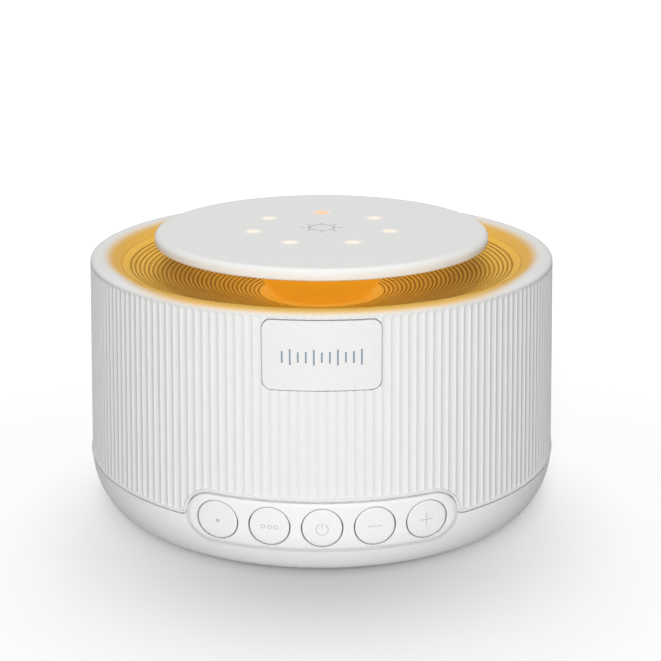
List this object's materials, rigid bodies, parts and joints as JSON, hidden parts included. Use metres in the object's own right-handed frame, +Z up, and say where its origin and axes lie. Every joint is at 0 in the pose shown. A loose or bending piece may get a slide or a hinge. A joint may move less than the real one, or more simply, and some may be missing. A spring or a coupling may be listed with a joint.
{
  "type": "white noise sound machine",
  "caption": "Round white sound machine: fluted tapered drum, bowl base with a pod of push buttons, glowing perforated dish under a floating touch disc.",
  "frame": {"origin": "on the vertical axis of the drum, in the plane that the feet stand on", "axes": "+Z up, front with the buttons towards -Y"},
  "size_m": [0.1198, 0.12, 0.0689],
  "materials": {
    "white_shell": "fine satin moulding",
    "white_base": "fine satin moulding",
    "white_plate": "smooth satin",
    "white_disc": "smooth matte",
    "white_button": "smooth satin",
    "dish_plastic": "satin, lit amber from the column",
    "light_guide": "translucent amber-lit diffuser",
    "lamp": "warm light source",
    "indicator": "warm light source",
    "board": "solder mask",
    "inner_plastic": "plain moulding",
    "foam": "closed foam",
    "basket_steel": "black paint",
    "magnet": "dull",
    "cone_paper": "pressed paper",
    "coil_copper": "enamelled wire",
    "rubber_roll": "soft",
    "chips": "moulded",
    "inlet_metal": "drawn shell",
    "foot_rubber": "soft grey",
    "screw_steel": "plain zinc"
  },
  "bodies": {
    "housing": {"main_shell": "white_shell", "base_shell": "white_base", "front_plate": "white_plate", "dish_grille": "dish_plastic", "light_column": "light_guide", "lamp_board": "board", "lamp_leds": "lamp", "top_disc": "white_disc", "disc_tray": "dish_plastic", "touch_board": "board", "indicator_leds": "indicator", "speaker_baffle": "inner_plastic", "speaker_gasket": "foam", "speaker_frame": "basket_steel", "speaker_magnet": "magnet", "speaker_surround": "rubber_roll", "main_board": "board", "board_parts": "chips", "power_inlet": "inlet_metal", "button_board": "board", "key_switches": "chips", "rubber_feet": "foot_rubber", "case_screws": "screw_steel", "baffle_screws": "screw_steel", "speaker_screws": "screw_steel", "board_screws": "screw_steel"},
    "dot_key": {"button_dot": "white_button", "switch_plunger_dot": "chips"},
    "mode_key": {"button_mode": "white_button", "switch_plunger_mode": "chips"},
    "power_key": {"button_power": "white_button", "switch_plunger_power": "chips"},
    "minus_key": {"button_minus": "white_button", "switch_plunger_minus": "chips"},
    "plus_key": {"button_plus": "white_button", "switch_plunger_plus": "chips"},
    "cone_assembly": {"speaker_cone": "cone_paper", "dust_cap": "cone_paper", "voice_coil": "coil_copper"}
  },
  "joints": [
    {"name": "dot_press", "type": "slide", "parent": "housing", "child": "dot_key", "axis": [0, 1, 0], "range_m": [0, 0.0004], "stiffness_N_per_m": 1500},
    {"name": "mode_press", "type": "slide", "parent": "housing", "child": "mode_key", "axis": [0, 1, 0], "range_m": [0, 0.0004], "stiffness_N_per_m": 1500},
    {"name": "power_press", "type": "slide", "parent": "housing", "child": "power_key", "axis": [0, 1, 0], "range_m": [0, 0.0004], "stiffness_N_per_m": 1500},
    {"name": "minus_press", "type": "slide", "parent": "housing", "child": "minus_key", "axis": [0, 1, 0], "range_m": [0, 0.0004], "stiffness_N_per_m": 1500},
    {"name": "plus_press", "type": "slide", "parent": "housing", "child": "plus_key", "axis": [0, 1, 0], "range_m": [0, 0.0004], "stiffness_N_per_m": 1500},
    {"name": "cone_stroke", "type": "slide", "parent": "housing", "child": "cone_assembly", "axis": [0, 0, 1], "range_m": [-0.0006, 0.0006], "stiffness_N_per_m": 800, "deforming": ["speaker_surround"]}
  ]
}
